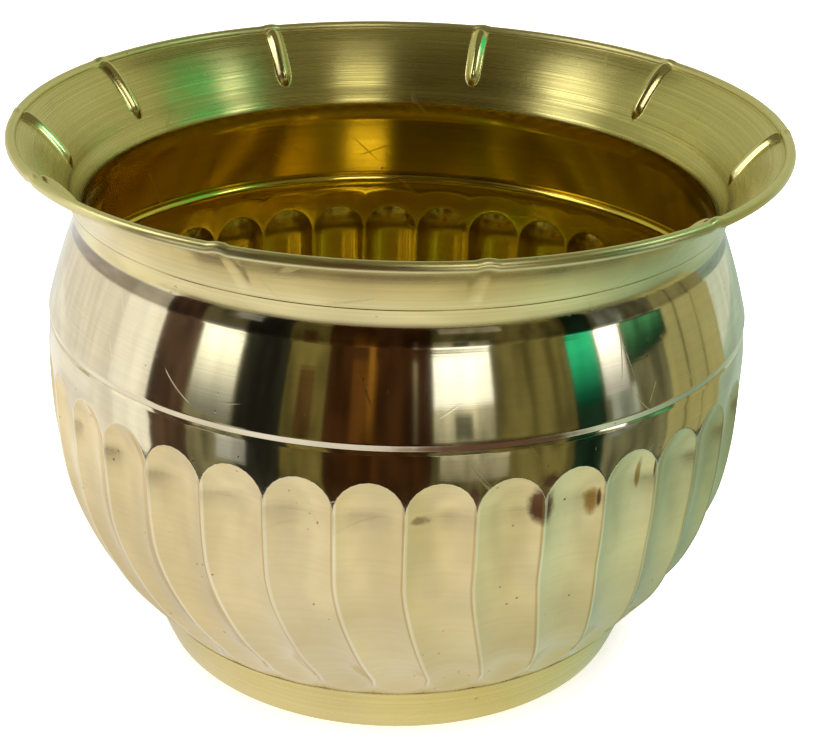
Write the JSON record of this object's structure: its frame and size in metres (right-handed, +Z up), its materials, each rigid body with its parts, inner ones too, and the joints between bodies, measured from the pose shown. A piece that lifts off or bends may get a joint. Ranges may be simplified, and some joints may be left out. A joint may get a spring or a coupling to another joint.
{
  "type": "kalash pot",
  "caption": "Wide-mouthed round brass pot with a ribbed flared collar, smooth shoulder, fluted bowl and low foot ring.",
  "frame": {"origin": "centre of the foot ring on the surface that the pot stands on", "axes": "+Z up along the pot's axis, out of the mouth; the camera side is -Y and +X is to the right of it"},
  "size_m": [0.173, 0.1728, 0.1245],
  "materials": {
    "collar_brass": "lathe brushed inside, pale and half polished outside",
    "shoulder_brass": "mirror polished outside, deep golden and brushed inside",
    "bowl_brass": "pale satin with fine level brushing and small pits",
    "foot_brass": "pale satin, slightly yellow, with small stains"
  },
  "bodies": {
    "root": {"rim_collar": "collar_brass", "shoulder": "shoulder_brass", "fluted_bowl": "bowl_brass", "foot_ring": "foot_brass"}
  },
  "joints": []
}
